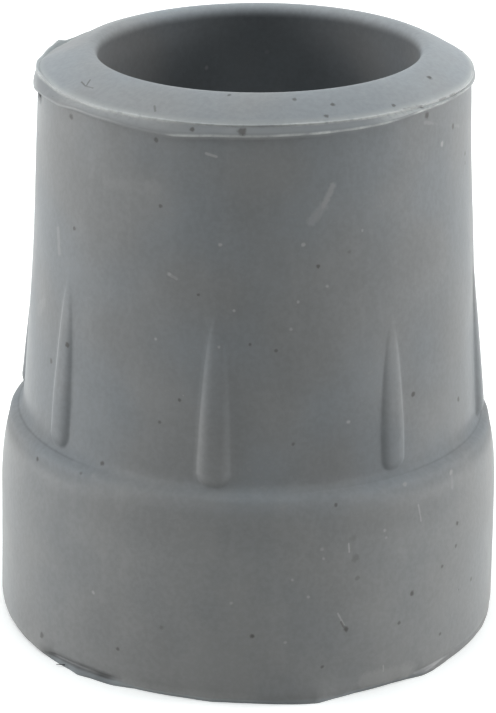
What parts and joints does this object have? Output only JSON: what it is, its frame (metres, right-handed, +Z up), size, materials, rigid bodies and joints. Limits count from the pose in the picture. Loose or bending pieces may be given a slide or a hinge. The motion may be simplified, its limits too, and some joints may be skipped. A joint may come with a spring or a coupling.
{
  "type": "rubber cane tip",
  "caption": "Push-on rubber tip for a cane: a thick sleeve with a socket for the tube, a rolled rim, teardrop ribs and a wider foot with a ringed tread.",
  "frame": {"origin": "centre of the underside, on the socket's axis", "axes": "+Z up the socket's axis to its mouth; one rib faces -Y, the front"},
  "size_m": [0.043, 0.043, 0.0494],
  "materials": {
    "grey_rubber": "matte moulded grey rubber with faint scuffs, specks and pale mould lines"
  },
  "bodies": {
    "root": {"cane_tip": "grey_rubber"}
  },
  "joints": []
}
